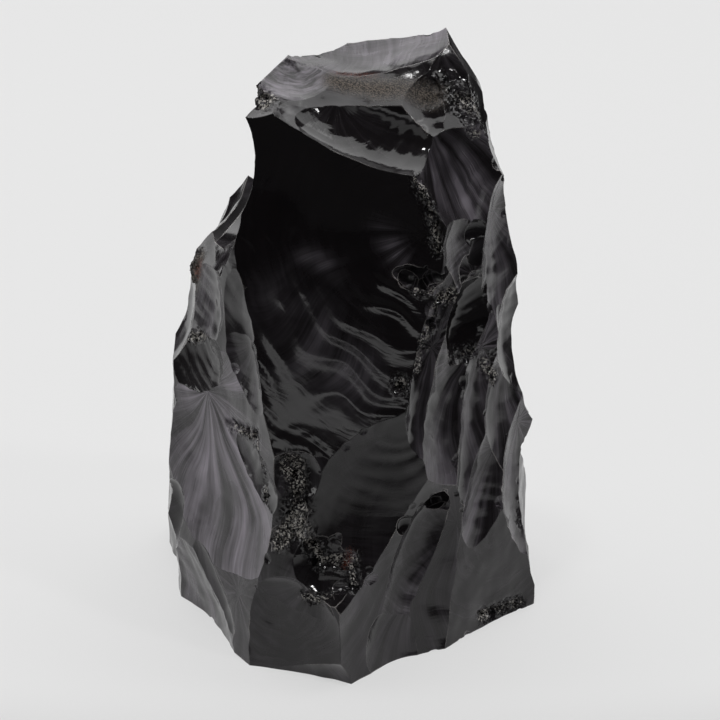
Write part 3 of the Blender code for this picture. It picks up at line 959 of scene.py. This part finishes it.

# %% Black volcanic glass: powder with painted glints, crust and rust
# Crushed glass is white where it is powdered, and single grains of 0.4 mm are painted white as
# glints of light.
dots = add(tree, CELLS, {"feature": 'F1'}, Vector=here, Scale=GRAINS_PER_M).node
pick = add(tree, SPLIT, Vector=dots.outputs["Color"])
powder_and_glint = add(tree, RANGE, CLAMPED, Value=pick, i1=0.62, i2=0.74, i3=0.0, i4=1.0)
UNEVEN = 1.6                          # how patchy the powder lies
uneven = add(tree, MATH, TIMES_PLUS, i0=shake, i1=UNEVEN, i2=-UNEVEN / 2)
thick = add(tree, RANGE, CLAMPED, Value=add(tree, MATH, PLUS, i0=crushed, i1=uneven),
            i1=0.40, i2=0.75, i3=0.0, i4=0.8)
powder_and_glint = add(tree, MATH, TIMES, i0=powder_and_glint, i1=thick)
# The crust is speckled dark and light, and the rust sits between its grains.
speckle = add(tree, RANGE, CLAMPED, Value=grains, i1=0.40, i2=0.62, i3=0.0, i4=1.0)
crust_colour = add(tree, MIX, COLOURS, Factor=speckle, i6=linear("#1f1b18"),
                   i7=linear("#6f655c")).node.outputs[2]
CRUST_COVER = 0.95
crusted = add(tree, MATH, TIMES, i0=crust, i1=CRUST_COVER)
stain = add(tree, MATH, TIMES, i0=rust, i1=add(
    tree, RANGE, CLAMPED, Value=grains, i1=0.42, i2=0.62, i3=0.0, i4=1.0))

# %% Black volcanic glass: colour and shader
# Each coat lies over the one before it.
GLASS_DARK, GLASS_LIGHT = linear("#131112"), linear("#1c191b")
# The sheen coat is painted light; the edge and powder coats are partly painted highlight and glint.
COATS = [(painted_sheen, linear("#a39ca6")), (edge, linear("#b4afad")), (powder_and_glint, linear("#d6d1ca")),
         (crusted, crust_colour), (stain, linear("#7a3f2c"))]
colour = add(tree, MIX, COLOURS, Factor=clouds, i6=GLASS_DARK, i7=GLASS_LIGHT).node.outputs[2]
for amount, coat in COATS:
    colour = add(tree, MIX, COLOURS, Factor=amount, i6=colour, i7=coat).node.outputs[2]

GLASS_IOR = 1.45                      # a little under the real one, to mirror the paper darker
shader = add(tree, 'ShaderNodeBsdfPrincipled', Base_Color=colour, Roughness=rough,
             IOR=GLASS_IOR, Normal=bump)
add(tree, 'ShaderNodeOutputMaterial', Surface=shader)
stone.data.materials.clear()
stone.data.materials.append(glass)
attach(stone, "root")
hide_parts(CAD_NODE)
print("glass nodes:", len(tree.nodes))

# %% [markdown]
# ## Table and light
# A black mirror shows its surroundings, so the light is planned by what each
# side of the stone looks at.  The room and the table before the stone are
# dim, which keeps the mirror faces black.  A box on either side draws the
# flanks, two dim strips in front leave soft bands, and a large box high
# behind it lights the paper and the top.  Two tiny strong lamps make the
# crushed grains sparkle.

# %% Floor
# White paper on a light table.  Paper is matte, so it shows no image of the
# stone.  A pool of light is painted into the paper's colour and glow.  It lies
# under and behind the stone, and fades out before it and beside it, so that
# upright faces mirror the table, painted dark there, and only the low ones
# mirror the paper.
TABLE_RADIUS, TABLE_SIDES = 2.5, 96
floor_mesh = bmesh.new()
bmesh.ops.create_circle(floor_mesh, cap_ends=True, segments=TABLE_SIDES, radius=TABLE_RADIUS)
table_top = add_object("table_top", floor_mesh)
paper = bpy.data.materials.new("white paper")
paper.use_nodes = True
tree = paper.node_tree
print("table across, m:", 2 * TABLE_RADIUS)

# %% White paper
POOL_MIDDLE, POOL_HALF = 0.30, 0.20   # a lit strip this far behind the stone, metres
POOL_NARROW = 0.6                     # under 1 the pool is wider than it is deep
POOL_FULL, POOL_END = 0.152, 0.27     # full light up to here, and dark from here, metres
DARK_SHARE = 0.06                     # light that is left outside the pool
PAPER_GREY, PAPER_GLOW, PAPER_ROUGH, PAPER_SHINE = "#808080", 0.56, 0.9, 0.1
place = add(tree, SPLIT, Vector=add(tree, COORDINATES).node.outputs["Object"]).node
beyond = add(tree, MATH, LESS, i0=place.outputs["Y"], i1=POOL_MIDDLE)
beyond = add(tree, MATH, {"operation": 'ABSOLUTE'}, i0=beyond)
beyond = add(tree, MATH, LESS, i0=beyond, i1=POOL_HALF)
beyond = add(tree, MATH, {"operation": 'MAXIMUM'}, i0=beyond, i1=0.0)
beside = add(tree, MATH, TIMES, i0=place.outputs["X"], i1=POOL_NARROW)
away = add(tree, VECTORS, {"operation": 'LENGTH'},
           i0=add(tree, JOIN, X=beside, Y=beyond)).node.outputs["Value"]
pool = add(tree, RANGE, EASED, Value=away, i1=POOL_FULL, i2=POOL_END, i3=1.0, i4=DARK_SHARE)
# Painted light: the paper's own grey fades to black with the pool, like its glow.
white = add(tree, MIX, COLOURS, Factor=pool, i6=linear("#000000"), i7=linear(PAPER_GREY))
shader = tree.nodes["Principled BSDF"]
shader.inputs["Roughness"].default_value = PAPER_ROUGH
shader.inputs["Specular IOR Level"].default_value = PAPER_SHINE
shader.inputs["Emission Color"].default_value = linear("#ffffff")
tree.links.new(white.node.outputs[2], shader.inputs["Base Color"])
glow = add(tree, MATH, TIMES, i0=pool, i1=PAPER_GLOW)
tree.links.new(glow, shader.inputs["Emission Strength"])
table_top.data.materials.append(paper)
print("paper nodes:", len(tree.nodes))

# %% Soft boxes
# Turn and rise in degrees, sizes and distance in metres, and the glow that a
# face looking into the box would mirror.
Box = namedtuple("Box", "name turn rise distance wide high glow")
BOXES = [
    Box("left box", -104, 15, 1.1, 0.9, 0.6, 2.5),
    Box("right box", 104, 44, 1.2, 0.6, 0.6, 1.9),
    Box("front strip", -12, 24, 1.5, 1.5, 0.18, 1.3),
    Box("front box", -12, 42, 1.5, 1.5, 0.30, 0.7),
    Box("back box", 180, 60, 1.6, 2.2, 1.7, 2.2),
    Box("key lamp", -40, 74, 1.2, 0.09, 0.09, 90.0),
    Box("spark lamp", 58, 50, 1.2, 0.08, 0.08, 90.0),
]
AIM = Vector((0, 0, 0.07))            # the middle of the stone
for box in BOXES:
    toward = scar_frame(Plane(box.name, AIM, (box.turn, box.rise)))[2]
    lamp = bpy.data.lights.new(box.name, 'AREA')
    lamp.shape = 'RECTANGLE'
    lamp.size, lamp.size_y = box.wide, box.high
    lamp.energy = box.glow * math.pi * box.wide * box.high
    light = bpy.data.objects.new(box.name, lamp)
    light.location = AIM + toward * box.distance
    light.rotation_mode = 'QUATERNION'
    light.rotation_quaternion = toward.to_track_quat('Z', 'Y')
    light.visible_camera = False
    bpy.context.scene.collection.objects.link(light)
    print(box.name, "W:", round(lamp.energy, 2))

# %% Room
# The room itself is dim, and a little lighter toward the ceiling.
WALL_FROM, CEILING_FROM = 0.05, 0.7   # heights of the directions, as sines
WALL_LIGHT, CEILING_LIGHT = 0.10, 0.30
world = bpy.data.worlds.new("studio")
world.use_nodes = True
room = world.node_tree
rising = add(room, SPLIT, Vector=add(room, COORDINATES)).node.outputs["Z"]
ceiling = add(room, RANGE, EASED, Value=rising, i1=WALL_FROM, i2=CEILING_FROM,
              i3=WALL_LIGHT, i4=CEILING_LIGHT)
room.links.new(ceiling, room.nodes["Background"].inputs["Strength"])
bpy.context.scene.world = world
bpy.context.scene.view_settings.view_transform = 'Standard'
print("light of the room:", WALL_LIGHT, "to", CEILING_LIGHT)

# %% Camera
CAMERA_RISE, CAMERA_DISTANCE, LENS = 24.0, 0.7, 143.5     # degrees, metres, mm
LOOK_AT = Vector((3.4, 0, 62.6)) * MM
rise = math.radians(CAMERA_RISE)
back = Vector((0, -math.cos(rise), math.sin(rise)))
camera = bpy.data.objects.new("camera", bpy.data.cameras.new("camera"))
camera.data.lens = LENS
camera.location = LOOK_AT + back * CAMERA_DISTANCE
camera.rotation_mode = 'QUATERNION'
camera.rotation_quaternion = back.to_track_quat('Z', 'Y')
bpy.context.scene.collection.objects.link(camera)
bpy.context.scene.camera = camera

# %% Hand over
bpy.context.view_layer.update()
